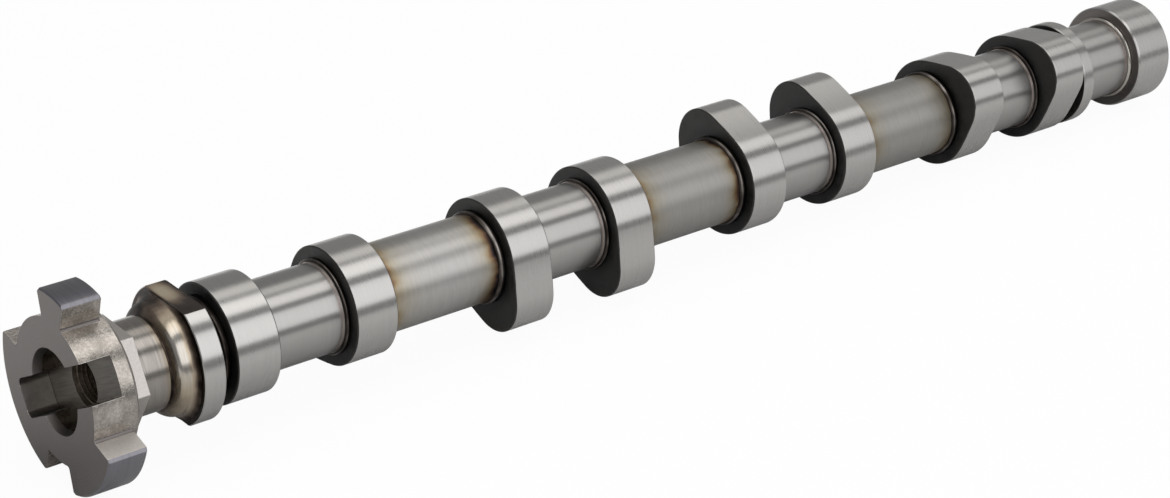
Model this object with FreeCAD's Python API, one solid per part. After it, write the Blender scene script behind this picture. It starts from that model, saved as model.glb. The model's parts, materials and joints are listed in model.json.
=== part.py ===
import FreeCAD, Part
import math
import os

# Assembled overhead camshaft: a hollow steel tube with eight lobes, a thrust disc and an end ring pressed
# on and welded, and a machined drive stub welded to its front end. The stub carries the sensor wheel,
# the driving slot with its threaded recess, and a spanner hexagon. All sizes are in millimetres.
#
# Every piece is drawn on a shaft lying along +X, with the sensor wheel's front face at x = 0 and
# angles counted about the shaft from +Y towards +Z. At the end the whole shaft is laid down as it comes
# to rest on a flat surface: on two teeth of the sensor wheel and on the end ring.

Vector = FreeCAD.Vector
alongShaft = Vector(1, 0, 0)

# Tube and ground bearing journals
tubeRadius = 12.1
tubeBoreRadius = 8.0
tubeBoreEdge = 0.5
journalGrind = 0.1           # taken off the tube's radius at the journals
journalRunout = 0.6          # rough strip left behind each lobe by the grinding wheel
reliefWidth = 1.1            # groove where the ground journal ends in front of a weld
reliefDepth = 0.35
boreChamfer = 0.7            # lead-in round the bore of whatever is pressed on the tube

# Welds round the tube, in the corner in front of each lobe and of the end ring
weldWidth = 2.3
groundWeldWidth = 1.4        # beside a ground journal, where the bead's toe is ground away
weldCrown = 0.75             # height above the tube
weldTop = (0.25, 0.6)        # where the bead's top starts and ends, as shares of its width

# Cam lobes: pairs of equal lobes, one pair for each cylinder
firstLobeGap = 4.6           # from the flatted collar's rear face
lobeWidth = 12.5
lobeSpacing = 35.0           # from one lobe of a pair to the other, front face to front face
cylinderPitch = 84.0
firstNoseAngle = 343.2
firingQuarters = (0, 1, 3, 2)   # quarter turns of each pair behind the first one
baseRadius = 16.0
noseRadius = 10.9
flankRadius = 120.0
lift = 5.3
lobeEdge = 0.35

# Thrust disc and end ring
thrustDiscGap = 4.8          # from the last lobe's rear face
thrustDiscWidth = 4.6
endJournalLength = 20.7
endRingWidth = 14.7
ringWall = 3.7               # of the disc and the ring, outside the tube
ringFrontEdge = 0.4
ringRearEdge = 0.9

# Sensor wheel at the front of the drive stub
hubRadius = 19.0
hubRearStep = 2.1            # bare hub behind the teeth
hubRearEdge = 0.8
wheelRadius = 26.4
wheelWidth = 10.5
toothEdge = 0.8
toothFrontEdge = 0.4
toothRootFillet = 0.8
teeth = ((112.9, 27.2), (247.6, 59.8), (351.4, 86.8))   # middle of each tooth and its sweep, degrees

# Drive slot, recess and bolt hole in the stub's front face
slotAngle = 172.5            # towards the open end, between two teeth
slotWidth = 10.2
slotDepth = 8.1
slotBlindEnd = 19.2          # from the shaft's axis to the closed end
slotCornerRadius = 2.0
recessMouthRadius = 11.1
recessRadius = 10.5
recessTaperDepth = 2.4
boltHoleRadius = 6.25
boltHoleBehind = 4.0         # metal left between the drill point and the stub's rear face
drillPointAngle = 118.0

# Hexagon, neck and spigot of the stub
hexAcrossFlats = 25.1
hexFlatAngle = 52.0
hexLength = 5.3
neckStep = 0.05              # from the tube's radius to the neck's
neckLength = 10.3            # from the hexagon to the weld
spigotLength = 12.0          # inside the tube
spigotSeatStep = 0.3         # tube's bore turned out to seat the spigot
spigotSeatRunout = 0.5
spigotClearance = 0.05

# Stub's weld bead and the flatted collar behind it
beadRadius = 2.4
collarClearance = 0.2        # from the bead to the collar's front face
collarRadius = 18.1
collarWidth = 6.1
collarAcrossFlats = 30.8
collarFlatAngle = 111.5
collarEdge = 0.3

journalRadius = tubeRadius - journalGrind
ringRadius = tubeRadius + ringWall
neckRadius = tubeRadius + neckStep
seatRadius = tubeBoreRadius + spigotSeatStep
hexStart = wheelWidth + hubRearStep
hexEnd = hexStart + hexLength
weldStation = hexEnd + neckLength
spigotEnd = weldStation + spigotLength
collarStart = weldStation + beadRadius + collarClearance
collarEnd = collarStart + collarWidth
firstLobeStart = collarEnd + firstLobeGap
lobeStarts = []
lobeAngles = []
for pair, quarters in enumerate(firingQuarters):
    for step in (0, lobeSpacing):
        lobeStarts.append(firstLobeStart + pair * cylinderPitch + step)
        lobeAngles.append(firstNoseAngle - 90 * quarters)
thrustDiscStart = lobeStarts[-1] + lobeWidth + thrustDiscGap
thrustDiscEnd = thrustDiscStart + thrustDiscWidth
endRingStart = thrustDiscEnd + endJournalLength
shaftEnd = endRingStart + endRingWidth


def onCircle(radius, degrees, x=0.0):
    turn = math.radians(degrees)
    return Vector(x, radius * math.cos(turn), radius * math.sin(turn))


def turned(profile):
    # profile: points (x, radius) round a closed outline in the half plane beside the shaft's axis
    outline = Part.makePolygon([Vector(x, radius, 0) for x, radius in profile + profile[:1]])
    return Part.Face(outline).revolve(Vector(0, 0, 0), alongShaft, 360)


def rod(radius, start, end):
    return Part.makeCylinder(radius, end - start, Vector(start, 0, 0), alongShaft)


def turnedAbout(shape, degrees):
    copy = shape.copy()
    copy.rotate(Vector(0, 0, 0), alongShaft, degrees)
    return copy


def pressedBore(start, end):
    # bore for the tube with a chamfer at both mouths
    mouth = tubeRadius + boreChamfer
    return turned([(start, 0), (start, mouth), (start + boreChamfer, tubeRadius),
                   (end - boreChamfer, tubeRadius), (end, mouth), (end, 0)])


def edgedDisc(start, end, radius, frontEdge, rearEdge):
    return turned([(start, 0), (start, radius - frontEdge), (start + frontEdge, radius),
                   (end - rearEdge, radius), (end, radius - rearEdge), (end, 0)])


# Tube: ground to size between the lobes of a pair and behind the thrust disc. Each journal runs from the
# rear face of one piece to a relief groove in front of the next one's weld.

def makeTube():
    journals = [(lobeStarts[i] + lobeWidth, lobeStarts[i + 1]) for i in range(0, len(lobeStarts), 2)]
    journals.append((thrustDiscEnd, endRingStart))
    reliefRadius = journalRadius - reliefDepth
    seatEnd = spigotEnd + spigotSeatRunout
    profile = [(weldStation, seatRadius), (weldStation, tubeRadius)]
    for start, end in journals:
        groundStart = start + journalRunout
        grooveEnd = end - groundWeldWidth
        grooveStart = grooveEnd - reliefWidth
        profile += [(groundStart, tubeRadius), (groundStart, journalRadius),
                    (grooveStart, journalRadius), (grooveStart, reliefRadius),
                    (grooveEnd, reliefRadius), (grooveEnd, tubeRadius)]
    profile += [(shaftEnd, tubeRadius), (shaftEnd, tubeBoreRadius + tubeBoreEdge),
                (shaftEnd - tubeBoreEdge, tubeBoreRadius), (seatEnd, tubeBoreRadius), (seatEnd, seatRadius)]
    return turned(profile)


# Bead in the corner between the tube and a front face, filling the chamfer at the mouth of the bore

def makeWeld(face, width):
    topRear, topFront = (face - share * width for share in weldTop)
    crownRadius = tubeRadius + weldCrown
    return turned([(face + boreChamfer, tubeRadius), (face, tubeRadius + boreChamfer),
                   (topRear, crownRadius), (topFront, crownRadius), (face - width, tubeRadius)])


# Lobe outline: base circle, two long flank arcs and the nose arc, each tangent to the next

def lobeOutline(inset):
    base = baseRadius - inset
    nose = noseRadius - inset
    flank = flankRadius - inset
    noseCentre = baseRadius + lift - noseRadius
    toBase = flank - base
    toNose = flank - nose
    along = (toBase ** 2 - toNose ** 2 + noseCentre ** 2) / (2 * noseCentre)
    across = math.sqrt(toBase ** 2 - along ** 2)
    sides = []
    for side in (1, -1):
        centre = Vector(0, along, -side * across)
        outOfBase = (Vector(0, 0, 0) - centre).normalize()
        outOfNose = (Vector(0, noseCentre, 0) - centre).normalize()
        middle = (outOfBase + outOfNose).normalize()
        sides.append([centre + outOfBase * flank, centre + middle * flank, centre + outOfNose * flank])
    upper, lower = sides
    back = Vector(0, -base, 0)
    tip = Vector(0, noseCentre + nose, 0)
    arcs = [Part.Arc(*upper), Part.Arc(upper[2], tip, lower[2]),
            Part.Arc(*reversed(lower)), Part.Arc(lower[0], back, upper[0])]
    return Part.Wire([arc.toShape() for arc in arcs])


def wireAt(wire, x):
    moved = wire.copy()
    moved.translate(Vector(x, 0, 0))
    return moved


def makeLobe(start, noseAngle):
    end = start + lobeWidth
    full = lobeOutline(0.0)
    small = lobeOutline(lobeEdge)
    body = Part.Face(wireAt(full, start + lobeEdge)).extrude(alongShaft * (lobeWidth - 2 * lobeEdge))
    frontRim = Part.makeLoft([wireAt(small, start), wireAt(full, start + lobeEdge)], True, True)
    rearRim = Part.makeLoft([wireAt(full, end - lobeEdge), wireAt(small, end)], True, True)
    lobe = body.fuse([frontRim, rearRim]).removeSplitter()
    return turnedAbout(lobe, noseAngle).cut(pressedBore(start, end))


def makeThrustDisc():
    disc = edgedDisc(thrustDiscStart, thrustDiscEnd, ringRadius, lobeEdge, lobeEdge)
    return disc.cut(pressedBore(thrustDiscStart, thrustDiscEnd))


def makeEndRing():
    ring = edgedDisc(endRingStart, shaftEnd, ringRadius, ringFrontEdge, ringRearEdge)
    return ring.cut(pressedBore(endRingStart, shaftEnd))


# Sensor wheel: three teeth of different length on the hub, with radial flanks and broken edges

def makeTooth(middle, sweep):
    half = sweep / 2
    cornerSweep = math.degrees(toothEdge / wheelRadius)
    low = wheelRadius - toothEdge
    inner = hubRadius / 2
    corners = [onCircle(inner, -half), onCircle(low, -half), onCircle(wheelRadius, -half + cornerSweep),
               onCircle(wheelRadius, half - cornerSweep), onCircle(low, half), onCircle(inner, half)]
    tip = Part.Arc(corners[2], onCircle(wheelRadius, 0), corners[3]).toShape()
    root = Part.Arc(corners[5], onCircle(inner, 0), corners[0]).toShape()
    edges = [Part.makeLine(corners[0], corners[1]), Part.makeLine(corners[1], corners[2]), tip,
             Part.makeLine(corners[3], corners[4]), Part.makeLine(corners[4], corners[5]), root]
    tooth = Part.Face(Part.Wire(edges)).extrude(alongShaft * wheelWidth)
    return turnedAbout(tooth, middle)


def makeHexagon():
    cornerRadius = hexAcrossFlats / 2 / math.cos(math.pi / 6)
    corners = [onCircle(cornerRadius, hexFlatAngle + 30 + 60 * i, hexStart) for i in range(7)]
    return Part.Face(Part.makePolygon(corners)).extrude(alongShaft * hexLength)


def makeSlotCutter():
    reach = wheelRadius + slotWidth
    box = Part.makeBox(slotDepth, slotBlindEnd + reach, slotWidth, Vector(0, -slotBlindEnd, -slotWidth / 2))
    blindEdges = [edge for edge in box.Edges if edge.BoundBox.YMax < 0 and edge.Length == slotDepth]
    return turnedAbout(box.makeFillet(slotCornerRadius, blindEdges), slotAngle)


def makeWheel():
    hub = edgedDisc(0, hexStart, hubRadius, 0, hubRearEdge)
    teethRim = edgedDisc(0, wheelWidth, wheelRadius, toothFrontEdge, toothFrontEdge)
    wheel = hub.fuse([makeTooth(middle, sweep).common(teethRim) for middle, sweep in teeth]).removeSplitter()
    roots = []
    for edge in wheel.Edges:
        middle = edge.valueAt((edge.FirstParameter + edge.LastParameter) / 2)
        onHub = abs(math.hypot(middle.y, middle.z) - hubRadius) < 0.01
        alongTooth = abs(edge.Length - wheelWidth) < 0.01 and edge.Curve.TypeId == "Part::GeomLine"
        if onHub and alongTooth:
            roots.append(edge)
    return wheel.makeFillet(toothRootFillet, roots)


def makeDriveStub():
    spigotRadius = seatRadius - spigotClearance
    stub = makeWheel().fuse([makeHexagon(), rod(neckRadius, hexStart, weldStation),
                             rod(spigotRadius, hexStart, spigotEnd)]).removeSplitter()
    drillPoint = spigotEnd - boltHoleBehind
    drilledTo = drillPoint - boltHoleRadius / math.tan(math.radians(drillPointAngle / 2))
    recess = turned([(0, 0), (0, recessMouthRadius), (recessTaperDepth, recessRadius),
                     (slotDepth, recessRadius), (slotDepth, boltHoleRadius),
                     (drilledTo, boltHoleRadius), (drillPoint, 0)])
    return stub.cut([recess, makeSlotCutter()]).removeSplitter()


def makeStubWeld():
    ring = Part.makeTorus(neckRadius, beadRadius, Vector(weldStation, 0, 0), alongShaft)
    front = rod(neckRadius, weldStation - 2 * beadRadius, weldStation)
    rear = rod(tubeRadius, weldStation, weldStation + 2 * beadRadius)
    return ring.cut([front, rear])


def makeFlattedCollar():
    collar = edgedDisc(collarStart, collarEnd, collarRadius, collarEdge, collarEdge)
    flats = Part.makeBox(collarWidth, collarAcrossFlats, 4 * collarRadius,
                         Vector(collarStart, -collarAcrossFlats / 2, -2 * collarRadius))
    collar = collar.common(turnedAbout(flats, collarFlatAngle))
    return collar.cut(pressedBore(collarStart, collarEnd))


# Lying down: the wheel stands on the corners of two teeth either side of its narrowest gap, and the
# end ring's rear rim touches at the other end

def restPlacement():
    gaps = []
    for i, (middle, sweep) in enumerate(teeth):
        nextMiddle, nextSweep = teeth[(i + 1) % len(teeth)]
        gapStart = middle + sweep / 2
        gaps.append(((nextMiddle - nextSweep / 2 - gapStart) % 360, gapStart))
    gap, gapStart = min(gaps)
    down = gapStart + gap / 2
    halfGap = math.radians(gap / 2) + toothEdge / wheelRadius
    wheelHeight = wheelRadius * math.cos(halfGap)
    wheelContact = wheelWidth - toothFrontEdge
    ringContact = shaftEnd - ringRearEdge
    slope = math.atan2(wheelHeight - ringRadius, ringContact - wheelContact)
    roll = FreeCAD.Rotation(alongShaft, 270 - down)
    pitch = FreeCAD.Rotation(Vector(0, 1, 0), math.degrees(slope))
    lay = FreeCAD.Placement(Vector(0, 0, 0), pitch.multiply(roll))
    lowest = -wheelContact * math.sin(slope) - wheelHeight * math.cos(slope)
    return lay, lowest


pieces = {
    "shaft_tube": makeTube(),
    "drive_stub": makeDriveStub(),
    "stub_weld": makeStubWeld(),
    "flatted_collar": makeFlattedCollar(),
    "thrust_disc": makeThrustDisc(),
    "end_ring": makeEndRing(),
    "end_ring_weld": makeWeld(endRingStart, groundWeldWidth),
}
for number, (start, angle) in enumerate(zip(lobeStarts, lobeAngles), 1):
    besideJournal = number % 2 == 0
    pieces["cam_lobe_%d" % number] = makeLobe(start, angle)
    pieces["lobe_weld_%d" % number] = makeWeld(start, groundWeldWidth if besideJournal else weldWidth)

lay, lowest = restPlacement()
for shape in pieces.values():
    shape.Placement = lay.multiply(shape.Placement)
box = Part.makeCompound(list(pieces.values())).optimalBoundingBox(True, False)
toOrigin = Vector(-(box.XMin + box.XMax) / 2, -(box.YMin + box.YMax) / 2, -lowest)

os.makedirs("parts", exist_ok=True)
for name, shape in pieces.items():
    shape.translate(toOrigin)
    solids = shape.Solids
    print(name, "solids", len(solids), "valid", shape.isValid(), "volume", round(shape.Volume, 1))
    solids[0].exportStep("parts/%s.step" % name)
print("origin shift", [round(value, 3) for value in toOrigin], "lowest", round(box.ZMin + toOrigin.z, 4))
print("overall length", round(shaftEnd, 2))
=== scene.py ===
import bpy
import bmesh
import json
import math
from mathutils import Euler, Matrix, Vector


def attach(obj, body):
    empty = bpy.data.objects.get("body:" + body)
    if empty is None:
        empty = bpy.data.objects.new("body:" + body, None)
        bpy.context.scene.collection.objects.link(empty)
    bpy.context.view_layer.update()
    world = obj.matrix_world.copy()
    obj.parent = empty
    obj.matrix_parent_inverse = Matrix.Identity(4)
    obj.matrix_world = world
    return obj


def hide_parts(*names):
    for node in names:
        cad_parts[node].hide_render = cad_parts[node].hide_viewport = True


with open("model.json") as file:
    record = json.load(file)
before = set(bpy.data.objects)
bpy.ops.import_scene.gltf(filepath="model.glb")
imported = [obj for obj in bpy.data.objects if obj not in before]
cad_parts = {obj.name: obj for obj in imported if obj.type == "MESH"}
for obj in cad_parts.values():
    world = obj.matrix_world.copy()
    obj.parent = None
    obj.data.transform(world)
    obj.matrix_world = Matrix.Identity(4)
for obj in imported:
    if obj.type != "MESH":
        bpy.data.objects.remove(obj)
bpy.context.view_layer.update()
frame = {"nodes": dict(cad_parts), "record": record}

# The shaft is drawn in millimetres along X, with the sensor wheel's front face at 0 and angles counted
# in degrees from +Y towards +Z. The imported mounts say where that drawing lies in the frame.
millimetre = 0.001
shaftRoll = -22.75
recessDepth = 8.1  # the bolt hole's mount lies this far behind the wheel's front face
mounts = {mount["name"]: mount for mount in frame["record"]["mounts"]}
shaftAxis = Vector(mounts["tube_bore"]["axis"])
shaftStart = Vector(mounts["drive_bolt_hole"]["pos_m"]) - shaftAxis * recessDepth * millimetre
shaftTurn = Euler((math.radians(shaftRoll), math.atan2(-shaftAxis.z, shaftAxis.x), 0))
place = Matrix.Translation(shaftStart) @ shaftTurn.to_matrix().to_4x4() @ Matrix.Scale(millimetre, 4)
toShaft = place.inverted()


def stationsOf(node):
    # where a solid starts and ends along the shaft
    stations = [(toShaft @ vertex.co).x for vertex in frame["nodes"][node].data.vertices]
    return round(min(stations), 2), round(max(stations), 2)


lobes = [stationsOf("cam_lobe_%d" % number) for number in range(1, 9)]
discEnds = stationsOf("thrust_disc")
endRingEnds = stationsOf("end_ring")
collarEnds = stationsOf("flatted_collar")
print("frame read, lobes at", lobes)


def linear(hexColour):
    # sRGB hex to linear light
    parts = [int(hexColour[i:i + 2], 16) / 255 for i in (1, 3, 5)]
    return [part / 12.92 if part <= 0.04045 else ((part + 0.055) / 1.055) ** 2.4 for part in parts] + [1.0]


def addNode(tree, kind, inputs=None, stops=(), **settings):
    # adds a node, a shader node where its kind has no prefix; an input is a value, an output socket or a
    # node, whose first output is meant, and stops are a ramp's colours
    node = tree.nodes.new(kind if "Node" in kind else "ShaderNode" + kind)
    for name, value in settings.items():
        setattr(node, name, value)
    for socket, value in (inputs or {}).items():
        if isinstance(value, bpy.types.Node):
            value = value.outputs[0]
        if isinstance(value, bpy.types.NodeSocket):
            tree.links.new(value, node.inputs[socket])
        else:
            node.inputs[socket].default_value = value
    for i, (position, hexColour) in enumerate(stops):
        # a new ramp has two stops already
        element = node.color_ramp.elements[i] if i < 2 else node.color_ramp.elements.new(position)
        element.position = position
        element.color = linear(hexColour)
    return node


def fromAxis(tree, point):
    # distance from the shaft's axis
    flat = addNode(tree, "VectorMath", {0: point, 1: (0, 1, 1)}, operation="MULTIPLY")
    return addNode(tree, "VectorMath", {0: flat}, operation="LENGTH").outputs["Value"]


# Materials. Spacings of a grain and depths of a relief are in millimetres.

usual = {1: 0.3, 2: 0.7}  # nearly all of a noise lies between these, as From sockets of a Map Range node
# colours that steel takes beside a weld, from cold to hottest: straw, gold, brown, purple, black scale
temperStops = ((0.0, "#ffffff"), (0.14, "#f7f1e4"), (0.3, "#e2d0b0"), (0.44, "#bf9f7c"), (0.58, "#8a6f61"),
               (0.72, "#584d4e"), (0.86, "#322d2f"), (1.0, "#181616"))
# and the greyer ones that the stub and its collar took; on the stub weld they also give its painted shade
greyStops = ((0.0, "#ffffff"), (0.2, "#efe5d3"), (0.5, "#a3948a"), (0.75, "#574f4c"), (1.0, "#1f1c1a"))


def newMaterial(name):
    material = bpy.data.materials.new(name)
    material.use_nodes = True
    material.node_tree.nodes.clear()
    return material, material.node_tree


def shaftPoint(tree):
    # the surface point in shaft millimetres
    where = addNode(tree, "TexCoord").outputs["Object"]
    return addNode(tree, "Mapping", {0: where, 1: shaftStart, 2: tuple(shaftTurn),
                   3: (millimetre,) * 3}, vector_type="TEXTURE")


def grainOn(tree, point, spacing, detail=3.0, rough=0.55):
    # noise whose grain has this spacing along, across and up
    shrink = tuple(1 / size for size in spacing)
    scaled = addNode(tree, "VectorMath", {0: point, 1: shrink}, operation="MULTIPLY")
    return addNode(tree, "TexNoise", {"Vector": scaled, "Scale": 1.0, "Detail": detail, "Roughness": rough})


def tempered(tree, point, steel, patch, spread, stops):
    # the steel's colour under its temper colours, which on the stub weld hold painted shade too, in uneven
    # patches, and how hot it has been
    heat = addNode(tree, "Attribute", attribute_name="temperAndShade").outputs["Fac"]
    patches = grainOn(tree, point, (patch * 1.5, patch, patch), 2.0)
    uneven = addNode(tree, "MapRange", {0: patches, **usual, 3: 1 - spread, 4: 1 + spread * 0.7})
    heated = addNode(tree, "Math", {0: heat, 1: uneven}, operation="MULTIPLY", use_clamp=True)
    tint = addNode(tree, "ValToRGB", {0: heated}, stops)
    mixed = addNode(tree, "Mix", {0: 1.0, 6: steel, 7: tint}, data_type="RGBA", blend_type="MULTIPLY")
    return mixed.outputs[2], heated


def dressed(material, look, relief, depth, brushed=0.0):
    # gives the material its surface, from the sockets in look and a relief
    tree = material.node_tree
    raised = addNode(tree, "Bump", {"Height": relief, "Distance": depth * millimetre})
    sockets = {"Metallic": 1.0, "Normal": raised, **look}
    if brushed:
        # grinding lines run round the shaft, so reflections smear along it
        tangent = addNode(tree, "Tangent", direction_type="RADIAL", axis="X")
        sockets.update({"Tangent": tangent, "Anisotropic": brushed, "Anisotropic Rotation": 0.25})
    surface = addNode(tree, "BsdfPrincipled", sockets)
    addNode(tree, "OutputMaterial", {0: surface})
    return material


def plainSteel(name, grain, shades, roughness, depth, noise=(), between=(0.3, 0.7), lie=None, temperAndShade=None,
               pits=None, brushed=0.0):
    # steel with one grain, which shades it and stands out from it; two roughnesses follow the grain too
    material, tree = newMaterial(name)
    point = laid = shaftPoint(tree)
    if lie == "arcs":
        laid = addNode(tree, "CombineXYZ", {0: fromAxis(tree, point)})
    if lie == "slot":
        back = -math.radians(stub["slotAngle"])
        laid = addNode(tree, "VectorRotate", {"Vector": point, "Angle": back}, rotation_type="X_AXIS")
    lines = grainOn(tree, laid, grain, *noise)
    colour = addNode(tree, "ValToRGB", {0: lines}, list(zip(between, shades)))
    if temperAndShade:
        colour = tempered(tree, point, colour, *temperAndShade, greyStops)[0]
    if isinstance(roughness, tuple):
        low, high = roughness
        roughness = addNode(tree, "MapRange", {0: lines, **usual, 3: low, 4: high})
    relief = grainOn(tree, point, (pits,) * 3) if pits else lines
    return dressed(material, {"Base Color": colour, "Roughness": roughness}, relief, depth, brushed)


def drawnSteel():
    # tube steel, linished after drawing and tinted by the welds: duller, with short scratches round it
    material, tree = newMaterial("linished_tube_steel")
    point = shaftPoint(tree)
    lines = grainOn(tree, point, (0.8, 6, 6), 4.0, 0.6)
    steel = addNode(tree, "ValToRGB", {0: lines}, ((0.3, "#a2a19f"), (0.7, "#acaba9")))
    # it grows duller behind the second pair of lobes
    station = addNode(tree, "SeparateXYZ", {0: point})
    dullFrom, dullTo = tube["dull"]
    dull = addNode(tree, "MapRange", {0: station, 1: dullFrom, 2: dullTo})
    worn = addNode(tree, "Mix", {0: dull, 6: (1, 1, 1, 1), 7: linear("#e7e7e6")}, data_type="RGBA")
    darker = addNode(tree, "Mix", {0: 1.0, 6: steel, 7: worn.outputs[2]}, data_type="RGBA",
                     blend_type="MULTIPLY").outputs[2]
    colour = tempered(tree, point, darker, 6.0, 0.55, temperStops)[0]
    rough = addNode(tree, "MapRange", {0: lines, **usual, 3: 0.36, 4: 0.42})
    rougher = addNode(tree, "Math", {0: dull, 1: 0.08, 2: rough}, operation="MULTIPLY_ADD")
    return dressed(material, {"Base Color": colour, "Roughness": rougher}, lines, 0.006, brushed=0.4)


def blackScale():
    # side of a hardened lobe: black scale from the furnace, with a dull sheen, near black by the weld as
    # painted shade and a little greyer at the rim as painted sheen
    material, tree = newMaterial("black_hardening_scale")
    point = shaftPoint(tree)
    cloud = grainOn(tree, point, (3, 3, 3), 4.0)
    paintedShadeFrom, paintedSheenTo = lobe["paintedShadeToSheen"]
    # painted shade by the weld's corner and painted sheen towards the rim, by distance from the axis
    outwards = addNode(tree, "MapRange", {0: fromAxis(tree, point), 1: paintedShadeFrom, 2: paintedSheenTo, 4: 0.5})
    shade = addNode(tree, "Math", {0: cloud, 1: outwards}, operation="ADD")
    colour = addNode(tree, "ValToRGB", {0: shade}, ((0.3, "#060606"), (0.6, "#0f0f0f"), (1.0, "#242322")))
    rough = addNode(tree, "MapRange", {0: cloud, **usual, 3: 0.38, 4: 0.55})
    look = {"Base Color": colour, "Roughness": rough, "Metallic": 0.0, "Specular IOR Level": 0.34}
    return dressed(material, look, grainOn(tree, point, (0.4, 0.4, 0.4)), 0.01)


def weldSteel():
    # weld bead laid without filler: smooth metal under temper colours and, on the stub weld, painted shade,
    # with soft ridges round the shaft
    material, tree = newMaterial("fused_weld_steel")
    point = shaftPoint(tree)
    lines = grainOn(tree, point, (0.5, 6, 6), 2.0)
    steel = addNode(tree, "ValToRGB", {0: lines}, ((0.3, "#aba7a1"), (0.7, "#bab6b0")))
    colour, heated = tempered(tree, point, steel, 5.0, 0.3, greyStops)
    # it is matt where its oxide is thick, and where its shade is painted
    rough = addNode(tree, "MapRange", {0: heated, 1: 0.1, 2: 0.7, 3: 0.2, 4: 0.46})
    return dressed(material, {"Base Color": colour, "Roughness": rough}, lines, 0.02)


def burntWeld():
    # weld in the corner of a lobe, burnt black and shiny, with bare glints here and there along its crown
    material, tree = newMaterial("burnt_weld_steel")
    noise = grainOn(tree, shaftPoint(tree), (1.5, 8, 8), 2.0)
    ridges = addNode(tree, "MapRange", {0: noise, **usual, 3: 0.42, 4: 0.7})
    heat = addNode(tree, "Attribute", attribute_name="temperAndShade").outputs["Fac"]
    bare = addNode(tree, "Math", {0: ridges, 1: heat}, operation="SUBTRACT")
    colour = addNode(tree, "ValToRGB", {0: bare}, ((0.0, "#282422"), (0.14, "#4a4541"), (0.5, "#b6b0ac")))
    return dressed(material, {"Base Color": colour, "Roughness": 0.3}, ridges, 0.012)


def blastedSteel():
    # milled and then shot blasted: bright and mottled, sparkling in small facets
    material, tree = newMaterial("blasted_steel")
    point = shaftPoint(tree)
    grain = grainOn(tree, point, (0.7, 0.7, 0.7), 4.0, 0.7)
    cloud = grainOn(tree, point, (5, 5, 5))
    mottle = addNode(tree, "Math", {0: grain, 1: cloud}, operation="ADD")
    shade = addNode(tree, "MapRange", {0: mottle, 1: 0.75, 2: 1.25})
    colour = addNode(tree, "ValToRGB", {0: shade}, ((0.1, "#88837d"), (0.5, "#99948e"), (0.9, "#b2ada7")))
    rough = addNode(tree, "MapRange", {0: grain, **usual, 3: 0.2, 4: 0.3})
    return dressed(material, {"Base Color": colour, "Roughness": rough}, grain, 0.036)


def makeFinishes():
    return {
        # hardened steel ground between stones: clean, silvery, with faint lines round the shaft
        "ground": plainSteel("ground_steel", grain=(0.6, 22, 22), shades=("#aaa9a7", "#aeadab"),
                             roughness=(0.27, 0.29), depth=0.0001, brushed=0.8),
        "journal": plainSteel("ground_journal_steel", grain=(0.6, 22, 22), shades=("#a09f9d", "#a4a3a1"),
                              roughness=(0.29, 0.31), depth=0.0001, brushed=0.8),
        "drawn": drawnSteel(), "scale": blackScale(), "weld": weldSteel(), "burnt": burntWeld(),
        # front faces of the sensor wheel and the end ring, turned flat: even mid grey with faint arcs; the
        # wheel's tooth roots take it too, for a stain line and painted shade
        "faced": plainSteel("faced_steel", grain=(0.4, 1, 1), shades=("#6b6766", "#767270"),
                            roughness=0.42, depth=0.004, noise=(3.0, 0.6), lie="arcs"),
        "blasted": blastedSteel(),
        # the hexagon's faces, blasted evenly: pale and matt; on the middle tooth's lit flank it is painted
        # light
        "hexagon": plainSteel("pale_blasted_steel_and_painted_light", grain=(0.6, 0.6, 0.6), shades=("#aca8a4", "#bbb7b3"),
                              roughness=0.42, depth=0.03, noise=(4.0, 0.7)),
        # outer faces of the wheel's teeth: turned smooth, a little blue
        "tipped": plainSteel("turned_tooth_steel", grain=(0.5, 12, 12), shades=("#706f75", "#7c7b80"),
                             roughness=0.3, depth=0.004),
        # neck and shoulders of the stub, turned on a lathe, tempered near the weld
        "turned": plainSteel("turned_steel", grain=(0.4, 10, 10), shades=("#827e7a", "#95918c"),
                             roughness=0.22, depth=0.003, noise=(3.0, 0.6), temperAndShade=(9.0, 0.18)),
        # the collar's flats: bright ground steel under straw and grey temper colours
        "flatted": plainSteel("tempered_flat_steel", grain=(0.6, 12, 12), shades=("#e2dbce", "#e8e1d5"),
                              roughness=0.3, depth=0.004, noise=(3.0, 0.6), temperAndShade=(8.0, 0.16)),
        # wall of the recess: bored bright, brownish with oil, with turned lines
        "bored": plainSteel("oiled_bored_steel", grain=(0.35, 9, 9), shades=("#857c73", "#a09990"),
                            roughness=0.18, depth=0.02, noise=(3.0, 0.6)),
        # walls of the slot: milled steel, greyed by a film of oil
        "milled": plainSteel("oiled_milled_steel", grain=(2, 2, 2), shades=("#8b8783", "#a29d98"),
                             roughness=0.3, depth=0.01, pits=0.6),
        # bottom of the slot and recess: dark grey, with the cutter's fine lines along the slot
        "cutter": plainSteel("end_milled_steel", grain=(9, 9, 0.5), shades=("#514e4a", "#6c6963"),
                             roughness=0.42, depth=0.02, noise=(3.0, 0.6), lie="slot"),
        # wall and crests of the tapped bolt hole: matt and brownish where the tap cut
        "thread": plainSteel("tapped_steel", grain=(0.8, 0.8, 0.8), shades=("#766c61", "#9b9084"),
                             roughness=0.5, depth=0.04, between=(0.35, 0.65)),
    }


# Shapes

def spot(station, radius, angle):
    # a place on the shaft's drawing
    turn = math.radians(angle)
    return Vector((station, radius * math.cos(turn), radius * math.sin(turn)))


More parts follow.
